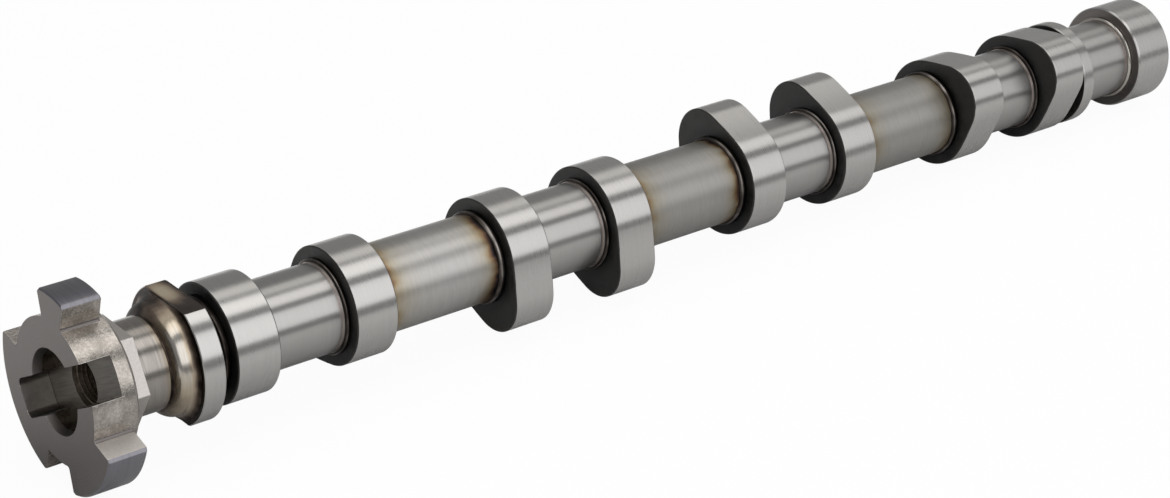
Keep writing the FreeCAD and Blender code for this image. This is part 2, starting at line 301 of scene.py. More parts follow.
def rounded(profile, size, steps=3, most=0.4):
    # softens each corner of a closed profile of (station, radius, finish of the span that follows),
    # using up at most this share of the spans beside it
    soft = []
    for i, (station, radius, finish) in enumerate(profile):
        corner = Vector((station, radius))
        before = Vector(profile[i - 1][:2]) - corner
        after = Vector(profile[(i + 1) % len(profile)][:2]) - corner
        reach = min(size, before.length * most, after.length * most)
        first = corner + before.normalized() * reach
        last = corner + after.normalized() * reach
        for step in range(steps + 1):
            share = step / steps
            point = first.lerp(corner, share).lerp(corner.lerp(last, share), share)
            soft.append((point.x, point.y, finish if step == steps else profile[i - 1][2]))
    return soft


def giveFinishes(mesh, faceFinishes):
    # every finish gets a slot, and each face the one of its own finish
    names = list(finishes)
    mesh.materials.clear()
    for name in names:
        mesh.materials.append(finishes[name])
    mesh.polygons.foreach_set("material_index", [names.index(finish) for finish in faceFinishes])


def dropUnused(mesh):
    # keeps only the finishes that some face has
    used = sorted({polygon.material_index for polygon in mesh.polygons})
    kept = [mesh.materials[index] for index in used]
    indices = [used.index(polygon.material_index) for polygon in mesh.polygons]
    mesh.materials.clear()
    for material in kept:
        mesh.materials.append(material)
    mesh.polygons.foreach_set("material_index", indices)


def closeUp(mesh, doubles=1e-4, slivers=1e-5):
    # merges poles and doubles and turns every face outwards
    work = bmesh.new()
    work.from_mesh(mesh)
    bmesh.ops.remove_doubles(work, verts=work.verts, dist=doubles)
    bmesh.ops.dissolve_degenerate(work, edges=work.edges, dist=slivers)
    bmesh.ops.recalc_face_normals(work, faces=work.faces)
    work.to_mesh(mesh)
    work.free()
    return mesh


def ringMesh(name, profile, segments):
    # turns a closed profile of (station, radius, finish) about the shaft's axis
    angles = [i * 2 * math.pi / segments for i in range(segments)]
    vertices = [(station, radius * math.cos(angle), radius * math.sin(angle))
                for station, radius, finish in profile for angle in angles]
    faces = []
    for i in range(len(profile)):
        row = i * segments
        above = (i + 1) % len(profile) * segments
        for j in range(segments):
            k = (j + 1) % segments
            faces.append((row + j, row + k, above + k, above + j))
    mesh = bpy.data.meshes.new(name)
    mesh.from_pydata(vertices, [], faces)
    giveFinishes(mesh, [finish for station, radius, finish in profile for angle in angles])
    return closeUp(mesh)


def prism(name, outline, start, end):
    # closed prism along the shaft from an outline of (y, z)
    count = len(outline)
    vertices = [(start, y, z) for y, z in outline] + [(end, y, z) for y, z in outline]
    faces = [tuple(range(count)), tuple(range(2 * count - 1, count - 1, -1))]
    faces += [(i, (i + 1) % count, count + (i + 1) % count, count + i) for i in range(count)]
    mesh = bpy.data.meshes.new(name)
    mesh.from_pydata(vertices, [], faces)
    return closeUp(mesh)


def newObject(name, data):
    piece = bpy.data.objects.new(name, data)
    bpy.context.scene.collection.objects.link(piece)
    return piece


def settled(piece):
    # the evaluated mesh takes the place of the object's modifiers
    graph = bpy.context.evaluated_depsgraph_get()
    mesh = bpy.data.meshes.new_from_object(piece.evaluated_get(graph))
    piece.modifiers.clear()
    piece.data = mesh
    return piece


def combine(piece, mesh, operation):
    # joins another closed mesh to the piece, or cuts the piece by it
    tool = newObject("tool", mesh)
    step = piece.modifiers.new("step", "BOOLEAN")
    step.operation = operation
    step.object = tool
    step.solver = "EXACT"
    settled(piece)
    bpy.data.objects.remove(tool)


def newShapeTree(name, sizes, takesBlank):
    tree = bpy.data.node_groups.new(name, "GeometryNodeTree")
    tree.interface.new_socket("Geometry", in_out="OUTPUT", socket_type="NodeSocketGeometry")
    if takesBlank:
        tree.interface.new_socket("Blank", in_out="INPUT", socket_type="NodeSocketGeometry")
    for size in sizes:
        tree.interface.new_socket(size, in_out="INPUT", socket_type="NodeSocketFloat")
    return tree, addNode(tree, "NodeGroupInput").outputs


def shapedBy(piece, tree, values):
    # runs a node tree on a piece, with its inputs set by identifier
    modifier = piece.modifiers.new(tree.name, "NODES")
    modifier.node_group = tree
    for item in tree.interface.items_tree:
        if item.name in values:
            modifier[item.identifier] = values[item.name]
    return settled(piece)


def finishPiece(piece, node, heat=None, sharp=32):
    # gives each point its heat, which on the stub weld is in part painted shade, lays the piece down in the
    # frame and hands it to the CAD node's body
    mesh = piece.data
    if heat:
        values = [heat(vertex.co) for vertex in mesh.vertices]
        mesh.attributes.new("temperAndShade", "FLOAT", "POINT").data.foreach_set("value", values)
    dropUnused(mesh)
    mesh.polygons.foreach_set("use_smooth", [True] * len(mesh.polygons))
    mesh.set_sharp_from_angle(angle=math.radians(sharp))
    # large flat faces keep their own normal beside the rounded edges
    level = piece.modifiers.new("levelFaces", "WEIGHTED_NORMAL")
    level.keep_sharp = True
    mesh = settled(piece).data
    mesh.transform(place)
    mesh.update()
    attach(piece, "root")
    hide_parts(node)


def fading(distance, peak, reach):
    # heat that falls off with the distance from a weld
    return peak * math.exp(-max(distance, 0) / reach)


def rising(value, start, span, peak, power):
    # heat that rises from 0 at the start to its peak a span further on
    return peak * min(1.0, max(0.0, (value - start) / span)) ** power


# Tube: bare steel with ground journals between the lobes of a pair and behind the thrust disc

tube = {
    "radius": 12.1, "bore": 8.0, "boreEdge": 0.5, "seat": 8.3, "seatRunout": 0.5,
    "journal": 12.0, "journalRunout": 0.6, "journalStep": 0.1, "reliefWidth": 1.1, "relief": 11.65,
    "ringSpacing": 0.6, "segments": 192, "dull": (115.0, 170.0),
    # heat as (peak, reach): behind each pair of lobes, and in front of the other pairs
    "behindPair": (0.74, 3.2), "beforePair": {2: (0.74, 2.4), 4: (0.66, 2.0), 6: (0.36, 3.0)},
}


def heatOnTube(point):
    # the short stretch between the collar and the first lobe is black all over
    station = point.x
    heat = 1.0 if station < lobes[0][0] else 0.0
    for number, (start, end) in enumerate(lobes):
        if number in tube["beforePair"] and station < start:
            heat = max(heat, fading(start - weld["wide"] - station, *tube["beforePair"][number]))
        if number % 2 == 1 and station > end:
            heat = max(heat, fading(station - end, *tube["behindPair"]))
    return heat


def makeTube():
    journals = [(first[1], second[0]) for first, second in zip(lobes[::2], lobes[1::2])]
    journals.append((discEnds[1], endRingEnds[0]))
    radius = tube["radius"]
    rear = endRingEnds[1]
    seatEnd = stub["spigotEnd"] + tube["seatRunout"]
    outside = [(stub["neckEnd"], radius, "drawn")]
    for start, end in journals:
        groundStart = start + tube["journalRunout"]
        grooveEnd = end - weld["narrow"]
        grooveStart = grooveEnd - tube["reliefWidth"]
        # the relief groove before each weld takes the burnt weld's finish: burnt like the weld beside it, and
        # painted shade in the groove
        outside += [(groundStart, radius, "drawn"),
                    (groundStart + tube["journalStep"], tube["journal"], "journal"),
                    (grooveStart, tube["journal"], "burnt"), (grooveStart, tube["relief"], "burnt"),
                    (grooveEnd, tube["relief"], "burnt"), (grooveEnd, radius, "drawn")]
    outside.append((rear, radius, "turned"))
    # drawn stretches get rings of points, which carry the heat
    profile = [(stub["neckEnd"], tube["seat"], "turned")]
    for (station, size, finish), (following, nextSize, _) in zip(outside, outside[1:]):
        length = following - station
        steps = max(1, round(length / tube["ringSpacing"])) if finish == "drawn" else 1
        profile += [(station + length * i / steps, size + (nextSize - size) * i / steps, finish)
                    for i in range(steps)]
    profile += [outside[-1], (rear, tube["bore"] + tube["boreEdge"], "turned"),
                (rear - tube["boreEdge"], tube["bore"], "turned"), (seatEnd, tube["bore"], "turned"),
                (seatEnd, tube["seat"], "turned")]
    mesh = ringMesh("shaft_tube_bare", profile, tube["segments"])
    finishPiece(newObject("tube", mesh), "shaft_tube", heatOnTube)


boreMouth = 12.8  # radius at the chamfered ends of every bore that sits on the tube


def pressedOn(name, ends, size):
    # mesh of a ring that sits on the tube, from its piece's dictionary
    start, end = ends
    radius = size["radius"]
    depth = boreMouth - tube["radius"]
    front = size["front"]
    rear = size["rear"]
    profile = [(start, boreMouth, front), (start, radius - size["frontEdge"], "ground"),
               (start + size["frontEdge"], radius, "ground"), (end - size["rearEdge"], radius, "ground"),
               (end, radius - size["rearEdge"], rear), (end, boreMouth, rear),
               (end - depth, tube["radius"], rear), (start + depth, tube["radius"], rear)]
    return ringMesh(name, rounded(profile, size["soft"]), size["segments"])


# Cam lobes: a turned blank is ground to the cam's outline by a node tree

lobe = {
    "radius": 16.0, "nose": 10.9, "flank": 120.0, "lift": 5.3, "firstNose": 343.2, "quarters": (0, 1, 3, 2),
    "frontEdge": 0.35, "rearEdge": 0.35, "front": "scale", "rear": "scale", "soft": 0.12, "segments": 288,
    # span of the black scale's painted shade and painted sheen, as radii
    "paintedShadeToSheen": (13.2, 16.2), "sideways": 0.6,
}


def camFormTree():
    tree, given = newShapeTree("camForm", ("Base radius", "Nose radius", "Nose centre", "Flank radius",
                               "Flank along", "Flank across", "Base cosine", "Nose cosine", "Nose angle",
                               "Bore mouth", "Edge"), True)
    point = addNode(tree, "GeometryNodeInputPosition")
    parts = addNode(tree, "SeparateXYZ", {0: point}).outputs
    angle = addNode(tree, "Math", {0: parts[2], 1: parts[1]}, operation="ARCTAN2")
    far = fromAxis(tree, point)
    fromNose = addNode(tree, "Math", {0: angle, 1: given["Nose angle"]}, operation="SUBTRACT")
    cosine = addNode(tree, "Math", {0: fromNose}, operation="COSINE")
    sine = addNode(tree, "Math", {0: fromNose}, operation="SINE")
    side = addNode(tree, "Math", {0: sine}, operation="ABSOLUTE")

    def reachOf(centreAlong, centreAcross, arcRadius):
        # distance from the axis to an arc, in the direction of the point
        first = addNode(tree, "Math", {0: centreAlong, 1: cosine}, operation="MULTIPLY")
        towards = addNode(tree, "Math", {0: centreAcross, 1: side, 2: first}, operation="MULTIPLY_ADD")
        centre = addNode(tree, "CombineXYZ", {0: centreAlong, 1: centreAcross})
        square = addNode(tree, "VectorMath", {0: centre, 1: centre}, operation="DOT_PRODUCT").outputs["Value"]
        own = addNode(tree, "Math", {0: arcRadius, 1: arcRadius}, operation="MULTIPLY")
        rest = addNode(tree, "Math", {0: own, 1: square}, operation="SUBTRACT")
        inside = addNode(tree, "Math", {0: towards, 1: towards, 2: rest}, operation="MULTIPLY_ADD")
        root = addNode(tree, "Math", {0: inside}, operation="SQRT")
        return addNode(tree, "Math", {0: towards, 1: root}, operation="ADD")

    # from the nose round, the outline is nose arc, flank and base circle, and the cosines say where each ends
    flank = reachOf(given["Flank along"], given["Flank across"], given["Flank radius"])
    nose = reachOf(given["Nose centre"], 0.0, given["Nose radius"])
    pastFlank = addNode(tree, "Math", {0: cosine, 1: given["Base cosine"]}, operation="LESS_THAN")
    onNose = addNode(tree, "Math", {0: cosine, 1: given["Nose cosine"]}, operation="GREATER_THAN")
    sides = addNode(tree, "Mix", {0: pastFlank, 2: flank, 3: given["Base radius"]})
    outline = addNode(tree, "Mix", {0: onNose, 2: sides, 3: nose})
    # the bore stays round and the rim takes the whole outline
    extra = addNode(tree, "Math", {0: outline, 1: given["Base radius"]}, operation="SUBTRACT")
    rim = addNode(tree, "Math", {0: given["Base radius"], 1: given["Edge"]}, operation="SUBTRACT")
    share = addNode(tree, "MapRange", {0: far, 1: given["Bore mouth"], 2: rim})
    grown = addNode(tree, "Math", {0: share, 1: extra, 2: far}, operation="MULTIPLY_ADD")
    factor = addNode(tree, "Math", {0: grown, 1: far}, operation="DIVIDE")
    stretch = addNode(tree, "CombineXYZ", {0: 1.0, 1: factor, 2: factor})
    moved = addNode(tree, "VectorMath", {0: point, 1: stretch}, operation="MULTIPLY")
    formed = addNode(tree, "GeometryNodeSetPosition", {0: given["Blank"], "Position": moved})
    real = addNode(tree, "GeometryNodeRealizeInstances", {0: formed})
    # the sides keep their scale, and whatever looks outwards is ground
    normal = addNode(tree, "GeometryNodeInputNormal")
    facing = addNode(tree, "SeparateXYZ", {0: normal})
    sideways = addNode(tree, "Math", {0: facing}, operation="ABSOLUTE")
    outward = addNode(tree, "Math", {0: sideways, 1: lobe["sideways"]}, operation="LESS_THAN")
    black = addNode(tree, "GeometryNodeSetMaterial", {0: real, "Material": finishes["scale"]})
    bright = addNode(tree, "GeometryNodeSetMaterial", {0: black, "Selection": outward,
                     "Material": finishes["ground"]})
    addNode(tree, "NodeGroupOutput", {0: bright})
    return tree


def makeLobes():
    # base circle, flanks and nose arc run into each other without a corner
    base = lobe["radius"]
    noseCentre = base + lobe["lift"] - lobe["nose"]
    toBase = lobe["flank"] - base
    toNose = lobe["flank"] - lobe["nose"]
    along = (toBase ** 2 - toNose ** 2 + noseCentre ** 2) / (2 * noseCentre)
    across = math.sqrt(toBase ** 2 - along ** 2)
    touch = Vector((noseCentre, 0)) + Vector((noseCentre - along, across)) * lobe["nose"] / toNose
    sizes = {"Base radius": base, "Nose radius": lobe["nose"], "Nose centre": noseCentre,
             "Flank radius": lobe["flank"], "Flank along": along, "Flank across": -across,
             "Base cosine": -along / toBase, "Nose cosine": touch.x / touch.length,
             "Bore mouth": boreMouth, "Edge": lobe["frontEdge"]}
    tree = camFormTree()
    for number, ends in enumerate(lobes):
        sizes["Nose angle"] = math.radians(lobe["firstNose"] - 90 * lobe["quarters"][number // 2])
        blank = newObject("camLobe%d" % (number + 1), pressedOn("lobe_blank", ends, lobe))
        finishPiece(shapedBy(blank, tree, sizes), "cam_lobe_%d" % (number + 1))


# Welds in the corner in front of each lobe and of the end ring

weld = {
    # wide in front of a pair, narrow where the journal's grinding has cut into it
    "wide": 2.3, "narrow": 1.4, "crown": 12.85, "top": (0.25, 0.6), "foot": 0.7,
    "soft": 0.5, "softSteps": 5, "segments": 224, "sharp": 50,
    "burnt": 0.6, "cleanCrown": 0.24, "cleanAt": 0.55, "cleanReach": 0.25,
}


def heatOnWeld(face, width):
    # burnt at the feet, less so along the crown, burnt all over beside the collar and clean at the end ring
    clean = 0.0 if face == lobes[0][0] else weld["cleanCrown"]

    def heat(point):
        share = (face - point.x) / width
        return weld["burnt"] - clean * math.exp(-((share - weld["cleanAt"]) / weld["cleanReach"]) ** 2)
    return (lambda point: 0.0) if face == endRingEnds[0] else heat


def makeCornerWelds():
    radius = tube["radius"]
    places = [("lobe_weld_%d" % (i + 1), start, weld["narrow"] if i % 2 else weld["wide"], "burnt")
              for i, (start, end) in enumerate(lobes)]
    for node, face, width, finish in places + [("end_ring_weld", endRingEnds[0], weld["narrow"], "weld")]:
        topRear, topFront = (face - share * width for share in weld["top"])
        profile = [(face + weld["foot"], radius, finish), (face, boreMouth, finish),
                   (topRear, weld["crown"], finish), (topFront, weld["crown"], finish),
                   (face - width, radius, finish)]
        mesh = ringMesh(node + "_bead", rounded(profile, weld["soft"], weld["softSteps"]), weld["segments"])
        piece = newObject("bead" + node.title().replace("_", ""), mesh)
        finishPiece(piece, node, heatOnWeld(face, width), weld["sharp"])


# Stub weld: the bead swells from the neck and laps up the collar's face

stubWeld = {
    "profile": ((25.0, 11.93), (25.25, 12.0), (25.6, 12.45), (26.05, 13.25), (26.65, 14.0), (27.4, 14.5),
                (28.2, 14.78), (28.9, 14.86), (29.6, 15.06), (30.2, 15.5), (30.55, 16.1), (30.8, 16.9)),
    "soft": 0.35, "segments": 224, "sharp": 50, "belowFlat": 0.12, "least": 0.02,
    # heat as (start, span, peak, power): by station at its feet, painted shade in the valley at the front
    # foot and temper colour towards the collar at the rear, and by direction, painted shade on its upper and
    # lower side
    "frontFootShade": (26.2, -0.9, 0.8, 1.0), "rearFoot": (28.4, 2.4, 0.85, 1.4),
    "upperShade": (Vector((0, 0.64, 0.77)), (0.0, 1.0, 0.82, 1.5)),
    "lowerShade": (Vector((0, -0.28, -0.96)), (0.0, 1.0, 0.36, 0.8)),
}


def temperAndShadeOnStubWeld(point):
    # temper colour at the rear foot; painted shade in the front valley and on the upper and lower side
    outwards = (place.to_3x3() @ Vector((0, point.y, point.z))).normalized()
    feet = [rising(point.x, *stubWeld[foot]) for foot in ("frontFootShade", "rearFoot")]
    sides = [rising(outwards.dot(stubWeld[side][0]), *stubWeld[side][1]) for side in ("upperShade", "lowerShade")]
    return max(feet + sides + [stubWeld["least"]])


def makeStubWeld():
    outside = [(station, radius, "weld") for station, radius in stubWeld["profile"]]
    profile = rounded(outside + [(collarEnds[0], tube["radius"], "weld")], stubWeld["soft"])
    mesh = ringMesh("stub_bead", profile, stubWeld["segments"])
    # the lap stays just below the collar's flats
    towardsFlat = spot(0, 1, collar["flatAngle"])
    most = collar["flats"] / 2 - stubWeld["belowFlat"]
    for vertex in mesh.vertices:
        height = vertex.co.dot(towardsFlat)
        vertex.co -= towardsFlat * (height - max(-most, min(most, height)))
    finishPiece(newObject("beadStub", mesh), "stub_weld", temperAndShadeOnStubWeld, stubWeld["sharp"])


# Rings: thrust disc, end ring and the flatted collar

thrustDisc = {"radius": 15.8, "frontEdge": 0.35, "rearEdge": 0.35, "front": "scale", "rear": "turned",
              "soft": 0.12, "segments": 224}
endRing = {"radius": 15.8, "frontEdge": 0.5, "rearEdge": 0.9, "front": "faced", "rear": "turned",
           "soft": 0.12, "segments": 224}
collar = {
    "radius": 18.1, "frontEdge": 0.3, "rearEdge": 0.3, "front": "turned", "rear": "turned",
    "soft": 0.1, "segments": 288, "flats": 30.8, "flatAngle": 111.5, "flatCuts": 23, "faceHeat": 0.87,
    # a flat is coolest at this share of its width and length, and hotter towards its rims
    "coolAt": (0.35, -0.42), "coolHeat": 0.16, "rimHeat": 0.66, "growth": (2.6, 1.5), "power": 1.2,
}


def makeRing(name, node, ends, size):
    finishPiece(newObject(name, pressedOn(name, ends, size)), node, lambda point: 0.0)


def heatOnCollar(point, near=0.01, offFlat=0.1):
    # the faces are tempered right over, the flats from their rims inwards, and the round not at all
    start, end = collarEnds
    half = collar["flats"] / 2
    if point.x < start + near or point.x > end - near:
        return collar["faceHeat"]
    if abs(point.dot(spot(0, 1, collar["flatAngle"]))) < half - offFlat:
        return 0.0
    flatLength = math.sqrt(collar["radius"] ** 2 - half ** 2)
    along = (point.x - start) / (end - start) - collar["coolAt"][0]
    across = point.dot(spot(0, 1, collar["flatAngle"] + 90)) / flatLength - collar["coolAt"][1]
    hotter = collar["growth"][0] * along ** 2 + collar["growth"][1] * across ** 2
    return collar["coolHeat"] + collar["rimHeat"] * min(1.0, hotter) ** collar["power"]


def makeCollar():
    # the space between the flats, with points close enough to carry the heat, cuts the round collar
    start, end = collarEnds
    width = end - start
    half = collar["flats"] / 2
    reach = collar["radius"] * 2
    between = prism("collar_flats", [(-half, -reach), (half, -reach), (half, reach), (-half, reach)],
                    start - width, end + width)
    between.materials.append(finishes["flatted"])
    between.transform(Matrix.Rotation(math.radians(collar["flatAngle"]), 4, "X"))
    work = bmesh.new()
    work.from_mesh(between)
    bmesh.ops.subdivide_edges(work, edges=work.edges, cuts=collar["flatCuts"], use_grid_fill=True)
    work.to_mesh(between)
    work.free()
    piece = newObject("flattedCollar", pressedOn("collar_blank", collarEnds, collar))
    combine(piece, between, "INTERSECT")
    finishPiece(piece, "flatted_collar", heatOnCollar)


# Drive stub: sensor wheel, hexagon, neck and spigot as one turned and milled piece

stub = {
    "hub": 19.0, "hubRearStep": 2.1, "hubRearEdge": 0.8, "wheel": 26.4, "wheelWidth": 10.5,
    "toothEdge": 0.8, "toothFrontEdge": 0.4, "toothRoot": 0.8, "rootSteps": 5,
    "teeth": ((112.9, 27.2), (247.6, 59.8), (351.4, 86.8)),  # (middle, sweep)
    "slotAngle": 172.5, "slotWidth": 10.2, "slotBlindEnd": 19.2, "slotCorner": 2.0, "cornerSteps": 8,
    "recessMouth": 11.1, "recess": 10.5, "recessTaper": 2.4, "hole": 6.25, "drillPoint": 36.2,
    "drillAngle": 118.0, "hexFlats": 25.1, "hexAngle": 52.0, "hexLength": 5.3, "hexRoot": 1.0,
    "neck": 12.15, "neckRoot": 0.5, "neckRings": 14, "neckLip": 24.9, "neckEnd": 28.2,
    "lipWidth": 0.15, "lipStep": 0.2, "spigot": 8.25, "spigotEnd": 40.2, "segments": 192, "arcStep": 1.5,
    "cutterRunout": 4.0, "cutterStart": -1.0, "brokenEdge": 0.14, "brokenSteps": 2, "brokenAngle": 35,
    "neckHeat": (0.34, 0.7),
}
hubRear = stub["wheelWidth"] + stub["hubRearStep"]
hexEnd = hubRear + stub["hexLength"]


def arcPoints(radius, first, last):
    count = max(2, math.ceil((last - first) / stub["arcStep"]))
    return [(radius, first + (last - first) * i / count) for i in range(count + 1)]


def rootFillet(flank, side):
    # (radius, angle) from the hub up to a tooth's flank
    root = stub["toothRoot"]
    centre = Vector((math.sqrt((stub["hub"] + root) ** 2 - root ** 2), -root))
    towardsHub = math.atan2(-centre.y, -centre.x)
    towardsFlank = math.pi / 2
    points = []
    for step in range(1, stub["rootSteps"]):
        turn = towardsHub + (towardsFlank - towardsHub) * step / stub["rootSteps"]
        at = centre + Vector((math.cos(turn), math.sin(turn))) * root
        points.append((at.length, flank + side * math.degrees(math.atan2(at.y, at.x))))
    return points


def wheelOutline():
    # (radius, angle) round the wheel, and for each tooth where its root leaves and joins the hub
    hub, wheel, root, edge = (stub[size] for size in ("hub", "wheel", "toothRoot", "toothEdge"))
    rootTurn = math.degrees(math.asin(root / (hub + root)))
    rootTop = math.sqrt((hub + root) ** 2 - root ** 2)
    tipTurn = math.degrees(edge / wheel)
    outline = []
    roots = []
    for i, (middle, sweep) in enumerate(stub["teeth"]):
        before = stub["teeth"][i - 1]
        first = middle - sweep / 2
        last = middle + sweep / 2
        previous = before[0] + before[1] / 2 - (360 if i == 0 else 0)
        outline += arcPoints(hub, previous + rootTurn, first - rootTurn)
        start = len(outline) - 1
        outline += rootFillet(first, 1) + [(rootTop, first), (wheel - edge, first)]
        outline += arcPoints(wheel, first + tipTurn, last - tipTurn)
        outline += [(wheel - edge, last), (rootTop, last)] + rootFillet(last, -1)[::-1]
        roots.append((start, len(outline)))
    return outline, roots


def makeWheelMesh():
    outline, roots = wheelOutline()
    count = len(outline)
    width = stub["wheelWidth"]
    edge = stub["toothFrontEdge"]
    work = bmesh.new()

    def join(row, above):
        for i in range(len(row)):
            j = (i + 1) % len(row)
            work.faces.new((row[i], row[j], above[j], above[i]))

    layers = ((0.0, stub["wheel"] - edge), (edge, stub["wheel"]), (width - edge, stub["wheel"]),
              (width, stub["wheel"] - edge))
    rows = [[work.verts.new(spot(station, min(radius, limit), angle)) for radius, angle in outline]
            for station, limit in layers]
    for row, above in zip(rows, rows[1:]):
        join(row, above)
    work.faces.new(rows[0][::-1])
    # behind the teeth the hub goes on round, through (vertex, angle)
    rear = rows[-1]
    behind = []
    position = 0
    for start, stop in roots:
        behind += [(rear[i], outline[i][1]) for i in range(position, start + 1)]
        first = outline[start][1]
        last = outline[stop % count][1] + (360 if stop >= count else 0)
        across = [(work.verts.new(spot(width, radius, angle)), angle)
                  for radius, angle in arcPoints(stub["hub"], first, last)[1:-1]]
        tooth = [rear[i % count] for i in range(start, stop + 1)]
        work.faces.new(tooth + [vertex for vertex, angle in across][::-1])
        behind += across
        position = stop
    behind += [(rear[i], outline[i][1]) for i in range(position, count)]
    step = stub["hubRearEdge"]
    shoulder = [work.verts.new(spot(hubRear - step, stub["hub"], angle)) for vertex, angle in behind]
    last = [work.verts.new(spot(hubRear, stub["hub"] - step, angle)) for vertex, angle in behind]
    join([vertex for vertex, angle in behind], shoulder)
    join(shoulder, last)
    work.faces.new(last)
    bmesh.ops.recalc_face_normals(work, faces=work.faces)
    mesh = bpy.data.meshes.new("wheel_blank")
    work.to_mesh(mesh)
    work.free()
    return mesh


def turnedSolid(name, profile):
    # a plain solid of revolution from (station, radius)
    mesh = ringMesh(name, [(station, radius, "turned") for station, radius in profile], stub["segments"])
    mesh.materials.clear()
    mesh.polygons.foreach_set("material_index", [0] * len(mesh.polygons))
    return mesh


def slotOutline():
    # closed end with rounded corners, open end beyond the wheel
    half = stub["slotWidth"] / 2
    corner = stub["slotCorner"]
    reach = stub["wheel"] + stub["cutterRunout"]
    points = [(reach, -half), (reach, half)]
    for centreZ, first in ((half - corner, 90), (corner - half, 180)):
        for step in range(stub["cornerSteps"] + 1):
            turn = math.radians(first + 90 * step / stub["cornerSteps"])
            points.append((corner - stub["slotBlindEnd"] + corner * math.cos(turn),
                           centreZ + corner * math.sin(turn)))
    return points


# how the stub's faces are told apart: by distances in mm, and by how far their normals lean
telling = {
    "near": 0.05, "close": 0.02, "slotFoot": 0.2, "tip": 0.8, "rootTop": 0.1, "flank": 0.3, "hexCorner": 2.2,
    "spigotFace": 1.0, "inward": 0.1, "level": 0.9, "sloping": 0.3, "upright": 0.5,
}


def stubFinish(centre, normal):
    # what the last cut left on a face, found from where the face is and where it looks
    near = telling["near"]
    close = telling["close"]
    level = telling["level"]
    far = math.hypot(centre.y, centre.z)
    alongSlot = centre.dot(spot(0, 1, stub["slotAngle"]))
    acrossSlot = abs(centre.dot(spot(0, 1, stub["slotAngle"] + 90)))
    halfSlot = stub["slotWidth"] / 2
    inward = normal.y * centre.y + normal.z * centre.z < -telling["inward"] * far
    inSlot = acrossSlot < halfSlot + close and alongSlot > -stub["slotBlindEnd"] - close
    inRecess = far < stub["recessMouth"] + near and inward and abs(acrossSlot - halfSlot) >= close
    if centre.x < near:
        return "faced"
    if inSlot and centre.x < stub["brokenEdge"] + close:
        return "blasted"
    if abs(centre.x - recessDepth) < near and normal.x < -level:
        return "cutter"
    if far < stub["hole"] + near and recessDepth < centre.x < stub["spigotEnd"] - telling["spigotFace"]:
        return "thread"
    if inRecess and centre.x < recessDepth + near:
        return "faced" if centre.x < stub["recessTaper"] else "bored"
    if inSlot and centre.x < recessDepth + near and (far < stub["hub"] - near or alongSlot < 0):
        return "milled" if centre.x < recessDepth - telling["slotFoot"] else "cutter"
    if centre.x > hexEnd - near:
        return "turned"
    if far > stub["wheel"] - telling["tip"]:
        return "tipped"
    # the fillets at the teeth's roots take the darker faced finish: a stain line there, and painted shade
    # that dims their highlight
    rootTop = stub["hub"] + stub["toothRoot"] - telling["rootTop"]
    if centre.x < stub["wheelWidth"] and stub["hub"] + close < far < rootTop:
        return "faced"
    # the hexagon and the hub's rear edge are pale, and the middle tooth's lit flank takes that pale finish as
    # painted light
    middle, sweep = stub["teeth"][1]
    offFlank = abs(centre.dot(spot(0, 1, middle - sweep / 2 + 90)))
    onPaintedLitFlank = offFlank < telling["flank"] and centre.x < stub["wheelWidth"] and far > stub["hub"]
    hexRim = stub["hexFlats"] / 2 + telling["hexCorner"]
    onHexagon = centre.x > hubRear and far < hexRim and normal.x < telling["upright"]
    onHubEdge = centre.x > hubRear - stub["hubRearEdge"] and telling["sloping"] < normal.x < level
    if onPaintedLitFlank or onHexagon or onHubEdge:
        return "hexagon"
    return "turned" if centre.x > stub["wheelWidth"] - near and normal.x > level else "blasted"


def heatOnStub(point):
    return fading(stub["neckLip"] - point.x, *stub["neckHeat"])


def makeStub():
    piece = newObject("driveStub", makeWheelMesh())
    hexRadius = stub["hexFlats"] / 2 / math.cos(math.pi / 6)
    corners = [spot(0, hexRadius, stub["hexAngle"] + 30 + 60 * i).yz for i in range(6)]
    combine(piece, prism("hexagon", corners, hubRear - stub["hexRoot"], hexEnd), "UNION")

    lip = stub["neckLip"]
    low = stub["neck"] - stub["lipStep"]
    start = hubRear - stub["neckRoot"]
    count = stub["neckRings"]
    neck = [(start, 0), (start, stub["neck"])]
    neck += [(hexEnd + (lip - hexEnd) * i / count, stub["neck"]) for i in range(count + 1)]
    neck += [(lip + stub["lipWidth"], low), (stub["neckEnd"], low), (stub["neckEnd"], stub["spigot"]),
             (stub["spigotEnd"], stub["spigot"]), (stub["spigotEnd"], 0)]
    combine(piece, turnedSolid("neck", neck), "UNION")

    before = stub["cutterStart"]
    mouth = stub["recessMouth"] - before * (stub["recessMouth"] - stub["recess"]) / stub["recessTaper"]
    drilledTo = stub["drillPoint"] - stub["hole"] / math.tan(math.radians(stub["drillAngle"] / 2))
    recess = [(before, 0), (before, mouth), (stub["recessTaper"], stub["recess"]),
              (recessDepth, stub["recess"]), (recessDepth, stub["hole"]), (drilledTo, stub["hole"]),
              (stub["drillPoint"], 0)]
    combine(piece, turnedSolid("recess", recess), "DIFFERENCE")

    slot = prism("slot", slotOutline(), before, recessDepth)
    slot.transform(Matrix.Rotation(math.radians(stub["slotAngle"]), 4, "X"))
    combine(piece, slot, "DIFFERENCE")

    edges = piece.modifiers.new("brokenEdges", "BEVEL")
    edges.width = stub["brokenEdge"]
    edges.segments = stub["brokenSteps"]
    edges.limit_method = "ANGLE"
    edges.angle_limit = math.radians(stub["brokenAngle"])
    edges.use_clamp_overlap = False
    mesh = settled(piece).data
    giveFinishes(mesh, [stubFinish(polygon.center, polygon.normal) for polygon in mesh.polygons])
    finishPiece(piece, "drive_stub", heatOnStub)


# Bolt thread: a ridge that winds along the wall of the hole

thread = {"pitch": 1.25, "depth": 0.5, "start": 8.7, "length": 23.9, "pointsPerTurn": 72, "sharp": 20}


